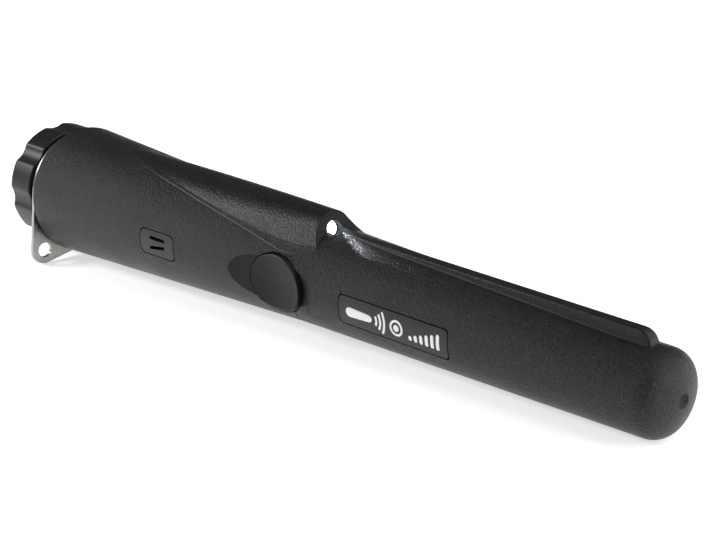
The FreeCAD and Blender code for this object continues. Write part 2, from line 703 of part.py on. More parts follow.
# ---------------------------------------------------------------- battery and its contacts
def make_battery():
    low_y = "-(battery_depth / 2 + battery_lie)"
    low_z = "-battery_width / 2"
    case = block("battery_block", ("battery_start", low_y, low_z),
                 ("battery_length - battery_plate", "battery_depth", "battery_width"))
    sub_part("battery_case", fillet("battery_rounded", case, "battery_corner",
                                    lambda e: e.BoundBox.XLength > 10))
    sub_part("battery_end_plate", block(
        "end_plate", ("battery_start + battery_length - battery_plate", f"{low_y} + battery_crimp",
                      f"{low_z} + battery_crimp"),
        ("battery_plate", "battery_depth - 2 * battery_crimp",
         "battery_width - 2 * battery_crimp")))
    start = "battery_start + battery_length"
    lie = "-battery_lie"
    sub_part("battery_terminal_positive", cylinder(
        "snap_stud", "stud_radius", "terminal_length", x=start, y=lie, z="terminal_spacing / 2"))
    socket = cylinder("snap_socket", "socket_radius", "terminal_length", x=start, y=lie,
                      z="-terminal_spacing / 2")
    sub_part("battery_terminal_negative", cut(
        "snap_socket_open", socket,
        cylinder("snap_socket_bore", "socket_bore", "terminal_length", x=f"{start} + 0.6", y=lie,
                 z="-terminal_spacing / 2")))


def make_contacts():
    board = cylinder("contact_disc", "contact_board_radius", "contact_board_thickness",
                     x="contact_board_position")
    holes = [cylinder(f"contact_hole_{side}", 0.8, 4, x="contact_board_position - 1", y=-4.5, z=z)
             for side, z in (("upper", 3.5), ("lower", -3.5))]
    sub_part("contact_board", cut("contact_drilled", board, fuse("contact_holes", *holes)))
    touch = "battery_start + battery_length + terminal_length + 0.05"
    foot = "contact_board_position"
    for pole, side in (("positive", ""), ("negative", "-")):
        leaf = outline(f"leaf_{pole}", [
            (foot, f"{side}3.2"), (foot, f"{side}10.0"), (f"{foot} - 0.4", f"{side}10.0"),
            (f"{foot} - 0.4", f"{side}4.4"), (f"{touch} + 0.4", f"{side}8.4"),
            (touch, f"{side}8.2"), (f"{foot} - 0.9", f"{side}3.2"),
        ])
        sub_part(f"contact_spring_{pole}", extrude(f"spring_{pole}", leaf, Vector(0, 1, 0), 5,
                                                   both=True))


# ---------------------------------------------------------------- circuit board and what is on it
CARRIER_START = "(contact_board_position + contact_board_thickness)"
CARRIER_STOP = "(board_position + board_length + 4)"
SCREW_PLACES = [(x, z) for x in ("board_position + 2", "board_position + board_length - 2")
                for z in ("6.2", "-6.2")]


def make_board():
    face = "board_thickness / 2"
    board = block("board_blank", ("board_position", f"-{face}", "-board_width / 2"),
                  ("board_length", "board_thickness", "board_width"))
    board_holes = []
    carrier_holes = []
    screws = []
    for number, (x, z) in enumerate(SCREW_PLACES, start=1):
        board_holes.append(cylinder(f"board_hole_{number}", 1.1, 4, x=x, y=-2, z=z, along=ALONG_Y))
        carrier_holes.append(cylinder(f"carrier_hole_{number}", 1.0, 4, x=x, y=0, z=z,
                                      along=ALONG_Y))
        head = cylinder(f"screw_head_{number}", 1.9, 1.1, x=x, y=f"-({face} + 1.1)", z=z,
                        along=ALONG_Y)
        shank = cylinder(f"screw_shank_{number}", 0.98, 3.8, x=x, y=f"-{face}", z=z, along=ALONG_Y)
        slot = block(f"screw_slot_{number}", (f"{x} - 1.4", f"-({face} + 1.2)", f"{z} - 0.2"),
                     (2.8, 0.6, 0.4))
        screws.append(cut(f"screw_{number}", fuse(f"screw_solid_{number}", head, shank), slot))
    sub_part("main_pcb", cut("board_drilled", board, fuse("board_holes", *board_holes)))
    sub_part("pcb_screws", group("screws", *screws))
    tray = block("tray_block", (CARRIER_START, face, "-board_width / 2"),
                 (f"{CARRIER_STOP} - {CARRIER_START}", "carrier_depth", "board_width"))
    window = block("tray_window", ("board_position + 4.5", -1, "-board_width / 2 + carrier_wall"),
                   ("board_length - 9", 8, "board_width - 2 * carrier_wall"))
    notch = block("tray_notch", ("face_position - 16.7", -1, "board_width / 2 - 2"), (4, 8, 4))
    sub_part("pcb_carrier", cut("tray", tray, fuse("tray_tools", window, notch, *carrier_holes)))


def chip(name, x, z, length, width, height):
    """A flat component that lies on the board's button side."""
    return block(name, (x, f"-(board_thickness / 2 + {height})", f"{z} - {width} / 2"),
                 (length, height, width))


def make_components():
    sub_part("microcontroller", chip("controller", 84.0, "0", 7.0, 7.0, 1.4))
    sub_part("amplifier_chip", chip("amplifier", 97.0, "0", 5.0, 4.0, 1.5))
    caps = [cylinder(f"capacitor_{side}", 2.5, 6, x=79, y="-(board_thickness / 2 + 6)", z=z,
                     along=ALONG_Y) for side, z in (("upper", 4.4), ("lower", -4.4))]
    sub_part("filter_capacitors", group("capacitors", *caps))
    chips = [chip(f"resistor_{number + 1}", 123.2 + 3.2 * number, f"{3.6 if number % 2 else -3.6}",
                  2.0, 1.25, 0.55) for number in range(6)]
    sub_part("chip_resistors", group("resistors", *chips))
    base = chip("trimmer_base", 126.0, "0", 4.5, 4.5, 1.8)
    rotor = cylinder("trimmer_rotor", 1.7, 2.4, x=128.25, y="-(board_thickness / 2 + 2.4)",
                     along=ALONG_Y)
    slot = block("trimmer_slot", (127.0, "-(board_thickness / 2 + 2.5)", -0.25), (2.5, 0.5, 0.5))
    sub_part("tuning_trimmer", cut("trimmer", fuse("trimmer_solid", base, rotor), slot))


def make_speaker():
    middle, radius = 71.0, 4.8
    sub_part("speaker", cylinder("speaker_can", radius, 3.2, x=middle, y=-13, along=ALONG_Y))
    pad = cylinder("gasket_disc", radius, 4, x=middle, y=-17, along=ALONG_Y)
    bay = cylinder("gasket_limit", "bay_radius - 0.05", 20, x=middle - 10)
    hole = cylinder("gasket_hole", radius - 1.4, 6, x=middle, y=-18, along=ALONG_Y)
    sub_part("speaker_gasket", cut("gasket", common("gasket_blank", pad, bay), hole))


def make_motor():
    axis_y = "motor_offset"
    end = "(motor_start + motor_length)"
    can = cylinder("motor_can", "motor_radius", "motor_length", x="motor_start", y=axis_y)
    well = cylinder("motor_bearing", "shaft_radius + 0.05", 3.2, x=f"{end} - 3", y=axis_y)
    sub_part("vibration_motor", cut("motor", can, well))
    sub_part("motor_shaft", cylinder("shaft", "shaft_radius", 7.4, x=f"{end} - 2.8", y=axis_y))
    disc = cylinder("weight_disc", "weight_radius", "weight_length", x=f"{end} + 0.5", y=axis_y)
    upper = block("weight_upper", (f"{end} - 1", f"{axis_y} - 4", 0.8), (8, 8, 4))
    bore = cylinder("weight_bore", "shaft_radius + 0.005", 8, x=f"{end} - 1", y=axis_y)
    sub_part("eccentric_weight", cut("weight", disc, fuse("weight_tools", upper, bore)))
    clip = block("clip_block", ("motor_start + 2", "board_thickness / 2", -3.8), (8, 6.4, 7.6))
    seat = cylinder("clip_seat", "motor_radius + 0.03", 20, x="motor_start - 4", y=axis_y)
    sub_part("motor_clip", cut("clip", clip, seat))


# ---------------------------------------------------------------- lamp and coil
def make_lamp():
    end = "(face_position + 0.4)"
    length = 8.6
    bulb = cylinder("lamp_bulb", "lamp_radius", f"{length} - lamp_radius", x=f"{end} - {length}",
                    z="lamp_height")
    dome = ball("lamp_dome", "lamp_radius", x=f"{end} - lamp_radius", z="lamp_height")
    sub_part("led_lamp", fuse("lamp", bulb, dome))
    back = f"({end} - {length})"
    plug = cylinder("lamp_plug", "lamp_bore - 0.02", 2.6, x=f"{back} - 2.65", z="lamp_height")
    holes = [cylinder(f"lamp_plug_hole_{side}", 0.3, 6, x=f"{back} - 4", y=y, z="lamp_height")
             for side, y in (("near", -1.27), ("far", 1.27))]
    sub_part("led_holder", cut("lamp_plug_drilled", plug, fuse("lamp_plug_holes", *holes)))
    legs = [lead(f"lamp_leg_{side}", [
        (back, y, "lamp_height"), ("face_position - 14.7", y, "lamp_height"),
        ("face_position - 14.7", y, "board_width / 2 - 1")], "lead_radius")
        for side, y in (("near", -1.27), ("far", 1.27))]
    sub_part("led_leads", group("legs", *legs))


def make_coil():
    sub_part("ferrite_rod", cylinder("ferrite", "ferrite_radius", "ferrite_length",
                                     x="ferrite_start"))
    start, stop = "ferrite_start + 1", "ferrite_start + ferrite_length - 1"
    tube = cylinder("former_tube", "ferrite_radius + 0.05 + bobbin_wall", f"{stop} - ({start})",
                    x=start)
    flanges = [cylinder(f"former_flange_{number + 1}", "bobbin_flange", 1.2, x=x)
               for number, x in enumerate((start, "190", "198", f"{stop} - 1.2"))]
    bore = cylinder("former_bore", "ferrite_radius + 0.02", "ferrite_length + 4",
                    x="ferrite_start - 2")
    sub_part("coil_bobbin", cut("former", fuse("former_solid", tube, *flanges), bore))
    for label, first, last in (("receive_winding", f"{start} + 1.3", "189.9"),
                               ("transmit_winding", "199.3", f"{stop} - 1.3")):
        outer = cylinder(f"{label}_outer", "winding_outer", f"{last} - ({first})", x=first)
        inner = cylinder(f"{label}_inner", "ferrite_radius + 0.1 + bobbin_wall", "ferrite_length",
                         x=f"{first} - 2")
        sub_part(label, cut(f"{label}_coil", outer, inner))
    support = cylinder("support_disc", "board_radius - 0.4", f"ferrite_start - {CARRIER_STOP}",
                       x=CARRIER_STOP)
    holes = [cylinder(f"support_hole_{side}", 1.2, 8, x=f"{CARRIER_STOP} - 2", y=-6.5, z=z)
             for side, z in (("upper", 3), ("lower", -3))]
    sub_part("coil_support", cut("support", support, fuse("support_holes", *holes)))
    sub_part("coil_cushion", cylinder("cushion", "nose_radius - 2.3",
                                      "nose_stop - ferrite_start - ferrite_length - 0.2",
                                      x="ferrite_start + ferrite_length + 0.1"))


def make_leads():
    """Insulated leads in pairs, mirrored about the wand's middle plane."""
    on_board = "-(board_thickness / 2 + 0.65)"
    routes = {
        "coil_leads": [(142, on_board, 3), (148.5, on_board, 3), (152.2, -6.1, 3),
                       ("ferrite_start + 0.9", -6.5, 3)],
        "battery_wires": [(57.7, -4.5, 3.5), (61.8, -4.5, 3.5), (64.6, on_board, 3.5),
                          (69, on_board, 3.5)],
        "speaker_wires": [(68, -9.7, 1.3), (68, -6.4, 1.3), (71, -3.6, 1.3), (71, -0.9, 1.3)],
        "motor_wires": [(123.9, 5.2, 1), (120.4, 5.2, 1), (118, 3.2, 1), (118, 0.9, 1)],
    }
    for label, route in routes.items():
        pair = [lead(f"{label}_{side}", [(x, y, sign * z) for x, y, z in route], "wire_radius")
                for side, sign in (("upper", 1), ("lower", -1))]
        sub_part(label, group(f"{label}_pair", *pair))


# ---------------------------------------------------------------- build, check and write
def build():
    outer = make_outer()
    scoop = cylinder("thumb_scoop", "scoop_radius", 60, x="scoop_position",
                     y="-(scoop_bottom + scoop_radius)", z=-30, along=ALONG_Z)
    make_housing(outer, make_cavity(), scoop)
    make_plates()
    make_button()
    make_switch()
    make_cap()
    make_lanyard_ring()
    make_battery()
    make_contacts()
    make_board()
    make_components()
    make_speaker()
    make_motor()
    make_lamp()
    make_coil()
    make_leads()
    doc.recompute()


def check():
    failed = [o.Name for o in doc.Objects if "Invalid" in o.State or "Error" in o.State]
    if failed:
        raise RuntimeError(f"failed objects: {failed}")
    for label, thing in SUB_PARTS:
        shape = thing.Shape
        if shape.isNull() or not shape.isValid() or not shape.Solids:
            raise RuntimeError(f"{label}: no valid solid")
        print(f"{label}: {len(shape.Solids)} solid(s), {shape.Volume:.1f} mm3")


build()
check()
os.makedirs("parts", exist_ok=True)
for part_label, part in SUB_PARTS:
    part.Shape.exportStep(f"parts/{part_label}.step")
print(len(SUB_PARTS), "sub-parts written")
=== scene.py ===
"""Looks of the pinpointer probe: textured black plastic wand on a pale floor in soft studio light.

Everything is in the row frame, in metres: +X from the battery cap to the sensing tip, +Z up to the
lamp hump, the push button on the -Y side.
"""

import json
import math

import bmesh
import bpy
from mathutils import Matrix, Vector


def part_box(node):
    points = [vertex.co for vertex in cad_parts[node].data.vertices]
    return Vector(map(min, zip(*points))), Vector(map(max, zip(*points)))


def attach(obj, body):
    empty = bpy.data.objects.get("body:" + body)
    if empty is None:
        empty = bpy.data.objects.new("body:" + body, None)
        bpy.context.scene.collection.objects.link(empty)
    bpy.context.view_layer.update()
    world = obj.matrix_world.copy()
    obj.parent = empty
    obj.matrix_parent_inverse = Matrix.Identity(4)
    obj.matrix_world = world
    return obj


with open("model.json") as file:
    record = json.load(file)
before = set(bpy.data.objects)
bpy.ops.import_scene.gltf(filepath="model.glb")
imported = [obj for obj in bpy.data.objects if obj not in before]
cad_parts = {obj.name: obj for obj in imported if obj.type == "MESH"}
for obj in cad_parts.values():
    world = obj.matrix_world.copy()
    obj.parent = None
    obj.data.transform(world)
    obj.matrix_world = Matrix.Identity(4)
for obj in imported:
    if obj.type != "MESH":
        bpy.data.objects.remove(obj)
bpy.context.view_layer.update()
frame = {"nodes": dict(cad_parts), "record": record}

MM = 0.001


# ---------------------------------------------------------------- the wand's own shape
# the body of revolution and the hump, in millimetres
WAND = {
    "rim_x": 14.5, "rim_r": 19.4, "waist_x": 122.7, "waist_r": 13.54,
    "dome_x": 228.06, "tip_r": 10.4, "hump_top": 18.05, "face_x": 126.4,
}
REAR_SLOPE = (WAND["rim_r"] - WAND["waist_r"]) / (WAND["waist_x"] - WAND["rim_x"])
FRONT_SLOPE = (WAND["waist_r"] - WAND["tip_r"]) / (WAND["dome_x"] - WAND["waist_x"])


def wand_radius(x):
    """Outer radius of the tapered wand at a station, metres."""
    rear = WAND["rim_r"] * MM - REAR_SLOPE * (x - WAND["rim_x"] * MM)
    front = WAND["waist_r"] * MM - FRONT_SLOPE * (x - WAND["waist_x"] * MM)
    return max(rear, front)


# ---------------------------------------------------------------- node helper
class Graph:
    """A material's nodes. Sockets may be given as numbers, tuples or other nodes' outputs."""

    def __init__(self, name):
        self.material = bpy.data.materials.new(name)
        self.material.use_nodes = True
        self.tree = self.material.node_tree
        self.tree.nodes.clear()
        self.out = self.tree.nodes.new("ShaderNodeOutputMaterial")
        self.bsdf = self.tree.nodes.new("ShaderNodeBsdfPrincipled")
        self.tree.links.new(self.bsdf.outputs[0], self.out.inputs[0])
        self.coord = self.tree.nodes.new("ShaderNodeTexCoord").outputs["Object"]

    def node(self, kind, output=0, settings=None, **sockets):
        made = self.tree.nodes.new("ShaderNode" + kind)
        for key, value in (settings or {}).items():
            setattr(made, key, value)
        for key, value in sockets.items():
            self.put(made, key, value)
        return made.outputs[output]

    def put(self, made, key, value):
        index = int(key[1:]) if key[0] == "i" and key[1:].isdigit() else key.replace("_", " ")
        socket = made.inputs[index]
        if isinstance(value, bpy.types.NodeSocket):
            self.tree.links.new(value, socket)
        else:
            socket.default_value = value

    def shade(self, **sockets):
        for key, value in sockets.items():
            self.put(self.bsdf, key, value)

    def math(self, operation, a, b=0.0, clamp=False):
        return self.node("Math", settings={"operation": operation, "use_clamp": clamp}, i0=a, i1=b)

    def ramp(self, value, low, high, to_low=0.0, to_high=1.0, smooth=True):
        kind = "SMOOTHSTEP" if smooth else "LINEAR"
        return self.node("MapRange", settings={"interpolation_type": kind}, Value=value,
                         From_Min=low, From_Max=high, To_Min=to_low, To_Max=to_high)

    def mix(self, share, a, b):
        made = self.tree.nodes.new("ShaderNodeMix")
        made.data_type = "RGBA"
        for index, value in ((0, share), (6, a), (7, b)):
            self.put(made, f"i{index}", value)
        return made.outputs[2]

    def noise(self, scale, detail=2.0, rough=0.5, where=None):
        return self.node("TexNoise", Vector=where or self.coord, Scale=scale, Detail=detail,
                         Roughness=rough)

    def cells(self, scale):
        return self.node("TexVoronoi", Vector=self.coord, Scale=scale)

    def stretched(self, x, y, z):
        return self.node("VectorMath", settings={"operation": "MULTIPLY"}, i0=self.coord,
                         i1=(x, y, z))

    def bump(self, height, distance, normal=None):
        made = self.tree.nodes.new("ShaderNodeBump")
        self.put(made, "Height", height)
        self.put(made, "Distance", distance)
        if normal is not None:
            self.put(made, "Normal", normal)
        return made.outputs[0]

    def rounded(self, radius):
        return self.node("Bevel", settings={"samples": 6}, Radius=radius)

    def edges(self, rounded, reach=0.25):
        """1 on edges, 0 on smooth faces."""
        normal = self.node("NewGeometry", output="Normal")
        same = self.node("VectorMath", output="Value", settings={"operation": "DOT_PRODUCT"},
                         i0=rounded, i1=normal)
        return self.ramp(self.math("SUBTRACT", 1.0, same), 0.01, reach)


def grey(value, tint=(1.0, 1.0, 1.0)):
    return (value * tint[0], value * tint[1], value * tint[2], 1.0)


# ---------------------------------------------------------------- materials
def raised_mask(g):
    """1 on the hump and the blade, which stand out from the tapered body, and 0 on the body."""
    split = g.tree.nodes.new("ShaderNodeSeparateXYZ")
    g.put(split, "i0", g.coord)
    x, y, z = split.outputs
    rear = g.math("MULTIPLY_ADD", x, -REAR_SLOPE)
    g.put(rear.node, "i2", (WAND["rim_r"] + REAR_SLOPE * WAND["rim_x"]) * MM)
    front = g.math("MULTIPLY_ADD", x, -FRONT_SLOPE)
    g.put(front.node, "i2", (WAND["waist_r"] + FRONT_SLOPE * WAND["waist_x"]) * MM)
    radius = g.math("MAXIMUM", rear, front)
    reach = g.math("SQRT", g.math("ADD", g.math("MULTIPLY", y, y), g.math("MULTIPLY", z, z)))
    return g.ramp(g.math("SUBTRACT", reach, radius), 0.04 * MM, 0.35 * MM)


def housing_plastic():
    """Black ABS with a spark-eroded skin, finer on the hump and blade, smooth in the scoop."""
    g = Graph("housing_plastic")
    raised = raised_mask(g)
    pits = g.cells(1500)
    grain = g.noise(1700, 3.0, 0.75)
    cloud = g.noise(90, 4.0, 0.6)
    skin = g.math("ADD", g.math("MULTIPLY", pits, 0.5), g.math("MULTIPLY", grain, 1.3))
    level = g.math("SUBTRACT", 1.0, g.math("MULTIPLY", raised, 0.55))
    height = g.math("MULTIPLY", skin, level)
    normal = g.bump(height, 0.26 * MM)
    tone = g.mix(cloud, grey(0.006), grey(0.010, (1.0, 1.0, 0.99)))
    tone = g.mix(g.ramp(grain, 0.52, 0.66, 0.0, 0.7), tone, grey(0.04))
    rough = g.ramp(cloud, 0.3, 0.7, 0.33, 0.41, smooth=False)
    g.shade(Base_Color=tone, Roughness=rough, Normal=normal, IOR=1.37)
    return g.material


def satin_plastic(name, base, rough, bevel=0.15, skin=0.012, scale=3200, ior=1.45):
    """Smooth moulded plastic with faint flow marks and softened edges, the edges also painted lighter
    as a painted highlight.
    """
    g = Graph(name)
    rounded = g.rounded(bevel * MM)
    edge_highlight = g.edges(rounded)
    fine = g.noise(scale, 3.0, 0.6)
    flow = g.noise(40, 3.0, 0.55, g.stretched(0.4, 1.0, 1.0))
    tone = g.mix(flow, grey(base * 0.85), grey(base * 1.2))
    # painted highlight: the edges are lightened in the colour
    tone = g.mix(g.math("MULTIPLY", edge_highlight, 0.3), tone, grey(base * 3 + 0.01))
    roughness = g.ramp(flow, 0.3, 0.7, rough - 0.04, rough + 0.05, smooth=False)
    g.shade(Base_Color=tone, Roughness=roughness, Normal=g.bump(fine, skin * MM, rounded),
            IOR=ior)
    return g.material


def rubber(name, base, rough):
    """Moulded rubber: matt, with a soft sheen and fine handling marks."""
    g = Graph(name)
    rounded = g.rounded(0.25 * MM)
    dust = g.noise(900, 5.0, 0.7)
    smear = g.noise(120, 3.0, 0.5)
    tone = g.mix(smear, grey(base * 0.85), grey(base * 1.25, (1.0, 1.0, 0.99)))
    tone = g.mix(g.ramp(dust, 0.62, 0.8, 0.0, 0.25), tone, grey(base * 3))
    roughness = g.ramp(smear, 0.3, 0.7, rough - 0.05, rough + 0.06, smooth=False)
    g.shade(Base_Color=tone, Roughness=roughness,
            Normal=g.bump(g.noise(2600, 2.0), 0.01 * MM, rounded), IOR=1.33)
    return g.material


def metal(name, tint, rough, grain=(1.0, 1.0, 1.0), scale=700, depth=0.006):
    """Drawn or tumbled metal with a directional grain and slight tarnish."""
    g = Graph(name)
    rounded = g.rounded(0.12 * MM)
    lines = g.noise(scale, 5.0, 0.7, g.stretched(*grain))
    stain = g.noise(160, 3.0, 0.6)
    tone = g.mix(g.ramp(stain, 0.35, 0.75), (*tint, 1.0), tuple(c * 0.78 for c in tint) + (1.0,))
    roughness = g.ramp(lines, 0.3, 0.7, rough - 0.07, rough + 0.1, smooth=False)
    g.shade(Base_Color=tone, Metallic=1.0, Roughness=roughness,
            Normal=g.bump(lines, depth * MM, rounded))
    return g.material


def coloured(name, tint, rough, speck=0.15, scale=1500, skin=0.008):
    """Plain dyed plastic, varnish or laminate with fine speckle."""
    g = Graph(name)
    speckle = g.noise(scale, 4.0, 0.65)
    cloud = g.noise(150, 3.0, 0.5)
    dark = tuple(c * (1 - speck) for c in tint) + (1.0,)
    tone = g.mix(cloud, dark, (*tint, 1.0))
    tone = g.mix(g.ramp(speckle, 0.6, 0.8, 0.0, speck), tone, (*[c * 1.5 + 0.02 for c in tint], 1.0))
    roughness = g.ramp(cloud, 0.3, 0.7, rough - 0.05, rough + 0.06, smooth=False)
    g.shade(Base_Color=tone, Roughness=roughness,
            Normal=g.bump(speckle, skin * MM, g.rounded(0.08 * MM)))
    return g.material


def foam(name, tint):
    """Closed-cell foam."""
    g = Graph(name)
    cell = g.cells(1400)
    tone = g.mix(g.ramp(cell, 0.1, 0.7), (*[c * 0.55 for c in tint], 1.0), (*tint, 1.0))
    g.shade(Base_Color=tone, Roughness=0.9, Normal=g.bump(cell, 0.12 * MM))
    return g.material


def winding(name):
    """Layers of enamelled wire, wound round the coil's axis."""
    g = Graph(name)
    turns = g.node("TexWave", settings={"wave_type": "BANDS", "bands_direction": "X"},
                   Vector=g.coord, Scale=900.0, Distortion=0.6, Detail=1.0, Detail_Scale=2.0)
    tone = g.mix(turns, (0.28, 0.09, 0.03, 1.0), (0.72, 0.30, 0.12, 1.0))
    g.shade(Base_Color=tone, Metallic=0.85, Roughness=g.ramp(g.noise(500), 0.3, 0.7, 0.25, 0.4),
            Normal=g.bump(turns, 0.08 * MM), Coat_Weight=0.4, Coat_Roughness=0.15)
    return g.material


def lit_lamp():
    """Clear epoxy lamp that is lit: the core is bright and the skirt is cooler and dimmer."""
    g = Graph("lamp_epoxy")
    split = g.tree.nodes.new("ShaderNodeSeparateXYZ")
    g.put(split, "i0", g.coord)
    x, y, z = split.outputs
    lamp_low, lamp_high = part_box("led_lamp")
    height = (lamp_low.z + lamp_high.z) / 2
    off = g.math("SUBTRACT", z, height)
    away = g.math("SQRT", g.math("ADD", g.math("MULTIPLY", y, y), g.math("MULTIPLY", off, off)))
    core = g.ramp(away, 0.9 * MM, 2.5 * MM, 1.0, 0.0)
    swirl = g.noise(700, 2.0)
    tone = g.mix(core, (0.70, 0.82, 1.0, 1.0), (1.0, 1.0, 0.98, 1.0))
    strength = g.math("MULTIPLY_ADD", core, 9.0)
    g.put(strength.node, "i2", 1.2)
    g.shade(Base_Color=(0.9, 0.94, 1.0, 1.0), Roughness=g.ramp(swirl, 0.3, 0.7, 0.05, 0.14),
            Emission_Color=tone, Emission_Strength=strength, IOR=1.53)
    return g.material


def white_print():
    """Pad-printed white ink, a little thin and worn in places."""
    g = Graph("white_print")
    thin = g.noise(1800, 4.0, 0.7)
    tone = g.mix(g.ramp(thin, 0.58, 0.8, 0.0, 0.35), (0.83, 0.84, 0.83, 1.0), (0.5, 0.5, 0.5, 1.0))
    g.shade(Base_Color=tone, Roughness=g.ramp(thin, 0.3, 0.7, 0.42, 0.55),
            Normal=g.bump(thin, 0.008 * MM))
    return g.material


# painted shade: this smooth plastic is darker and less reflective than the housing, standing in for
# the shade in the thumb scoop and on the lamp's face
SMOOTH_PLASTIC_PAINTED_SHADE = satin_plastic("smooth_plastic_painted_shade", 0.003, 0.5, bevel=0.1, skin=0.01, ior=1.3)

MATERIALS = {
    "housing_plastic": housing_plastic(),
    "inset_plastic": satin_plastic("inset_plastic", 0.011, 0.40, bevel=0.12, skin=0.02),
    "cap_plastic": satin_plastic("cap_plastic", 0.010, 0.36, bevel=0.3, skin=0.012, ior=1.37),
    "button_rubber": rubber("button_rubber", 0.006, 0.5),
    "seal_rubber": rubber("seal_rubber", 0.012, 0.5),
    "ring_steel": metal("ring_steel", (0.40, 0.395, 0.38), 0.30, (1.0, 0.6, 0.6), 900),
    "foam": foam("foam", (0.09, 0.09, 0.10)),
    "battery_can": coloured("battery_can", (0.10, 0.14, 0.19), 0.35),
    "battery_wafer": coloured("battery_wafer", (0.17, 0.11, 0.06), 0.6, 0.3),
    "nickel": metal("nickel", (0.72, 0.70, 0.66), 0.28),
    "board_laminate": coloured("board_laminate", (0.015, 0.15, 0.06), 0.35, 0.25),
    "carrier_plastic": coloured("carrier_plastic", (0.56, 0.55, 0.51), 0.5),
    "chip_plastic": coloured("chip_plastic", (0.03, 0.03, 0.03), 0.55, 0.3),
    "capacitor_can": metal("capacitor_can", (0.60, 0.61, 0.63), 0.3, (1.0, 0.2, 1.0)),
    "resistor_ceramic": coloured("resistor_ceramic", (0.05, 0.05, 0.06), 0.3),
    "trimmer_plastic": coloured("trimmer_plastic", (0.04, 0.14, 0.42), 0.35),
    "screw_steel": metal("screw_steel", (0.62, 0.62, 0.60), 0.32),
    "speaker_can": coloured("speaker_can", (0.05, 0.05, 0.055), 0.45),
    "motor_steel": metal("motor_steel", (0.66, 0.66, 0.67), 0.28, (0.2, 1.0, 1.0)),
    "tungsten": metal("tungsten", (0.36, 0.35, 0.34), 0.45),
    "lamp_epoxy": lit_lamp(),
    "tinned_lead": metal("tinned_lead", (0.75, 0.75, 0.74), 0.3),
    "ferrite": coloured("ferrite", (0.05, 0.05, 0.055), 0.5, 0.3),
    "former_plastic": coloured("former_plastic", (0.62, 0.60, 0.52), 0.5),
    "enamelled_copper": winding("enamelled_copper"),
    "wire_red": coloured("wire_red", (0.48, 0.03, 0.03), 0.35),
    "wire_black": coloured("wire_black", (0.03, 0.03, 0.03), 0.35),
    "wire_white": coloured("wire_white", (0.72, 0.72, 0.69), 0.4),
}

for row in frame["record"]["subparts"]:
    node = frame["nodes"][row["node"]]
    node.data.materials.clear()
    node.data.materials.append(MATERIALS[row["material_slot"]])
    for polygon in node.data.polygons:
        polygon.material_index = 0


LAMP_FACE = WAND["face_x"] * MM


def paint_smooth_shaded_places():
    """The thumb scoop round the button and the cove below the lamp are smooth, not grained, and get a
    darker, less reflective plastic: painted shade in the recess and on the lamp's face.
    """
    housing = frame["nodes"]["housing"]
    housing.data.materials.append(SMOOTH_PLASTIC_PAINTED_SHADE)
    low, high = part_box("power_button")
    middle = (low + high) / 2
    for polygon in housing.data.polygons:
        centre = housing.matrix_world @ polygon.center
        ahead = (centre.x - LAMP_FACE) / MM
        # painted shade: the lamp's face gets the darker plastic
        if -8 < ahead < 5 and centre.z > 8 * MM and polygon.normal.x > 0.3:
            polygon.material_index = 1
        along, up = (centre.x - middle.x) / (18 * MM), (centre.z - middle.z) / (9.5 * MM)
        if centre.y > -8 * MM or math.hypot(along, up) > 1.0:
            continue
        corners = [housing.matrix_world @ housing.data.vertices[i].co for i in polygon.vertices]
        deepest = max(wand_radius(c.x) - math.hypot(c.y, c.z) for c in corners)
        outward = Vector((0.0, centre.y, centre.z)).normalized()
        if deepest > 0.05 * MM or outward.dot(polygon.normal) < 0.985:
            polygon.material_index = 1


paint_smooth_shaded_places()


# ---------------------------------------------------------------- detail pieces
def new_piece(name, bm, material, body):
    """Turns a bmesh into a piece that rides on a body."""
    mesh = bpy.data.meshes.new(name)
    bmesh.ops.recalc_face_normals(bm, faces=bm.faces)
    bm.to_mesh(mesh)
    bm.free()
    thing = bpy.data.objects.new(name, mesh)
    bpy.context.scene.collection.objects.link(thing)
    mesh.materials.append(material)
    for polygon in mesh.polygons:
        polygon.use_smooth = True
    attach(thing, body)
    return thing


def bead(name, points, radius, material, sides=8):
    """A thin round bead along the points, running out to nothing at both ends."""
    bm = bmesh.new()
    rings = []
    count = len(points)
    for i, point in enumerate(points):
        along = (points[min(i + 1, count - 1)] - points[max(i - 1, 0)]).normalized()
        out = Vector((0, point.y, point.z)).normalized()
        side = along.cross(out).normalized()
        out = side.cross(along).normalized()
        ease = min(1.0, i / (0.18 * count), (count - 1 - i) / (0.06 * count))
        size = radius * max(0.08, ease)
        rings.append([bm.verts.new(point + size * (math.cos(a) * side + math.sin(a) * out))
                      for a in (2 * math.pi * k / sides for k in range(sides))])
    for ring, following in zip(rings, rings[1:]):
        for k in range(sides):
            n = (k + 1) % sides
            bm.faces.new((ring[k], ring[n], following[n], following[k]))
    bm.faces.new(rings[0])
    bm.faces.new(reversed(rings[-1]))
    return new_piece(name, bm, material, "wand")


def lowest_point(gap, low, high):
    """Where a falling function crosses zero, by halving."""
    for _ in range(40):
        middle = (low + high) / 2
        if gap(middle) > 0:
            low = middle
        else:
            high = middle
    return (low + high) / 2


BLADE_ROOT_HALF, BLADE_TOP_HALF, BLADE_ROOT, BLADE_TOP = 2.1, 1.45, 9.0, 13.6
HUMP_STATIONS = ((24.0, 4.2), (77.2, 9.8), (132.4, 5.2))


def hump_arch(x):
    """Radius of the hump's round back: a smooth curve through its three sections, millimetres."""
    total = 0.0
    for i, (xi, arch) in enumerate(HUMP_STATIONS):
        term = arch
        for j, (xj, _) in enumerate(HUMP_STATIONS):
            if i != j:
                term *= (x - xj) / (xi - xj)
        total += term
    return total


def hump_crease(x, side):
    """The point where the hump's flank runs into the body, metres."""
    radius = wand_radius(x * MM) / MM
    flank = 0.6 * WAND["hump_top"] + 0.4 * hump_arch(x)
    turn = math.atan2(0.8, 0.6) - math.acos(min(1.0, flank / radius))
    return Vector((x, -side * radius * math.sin(turn), radius * math.cos(turn))) * MM


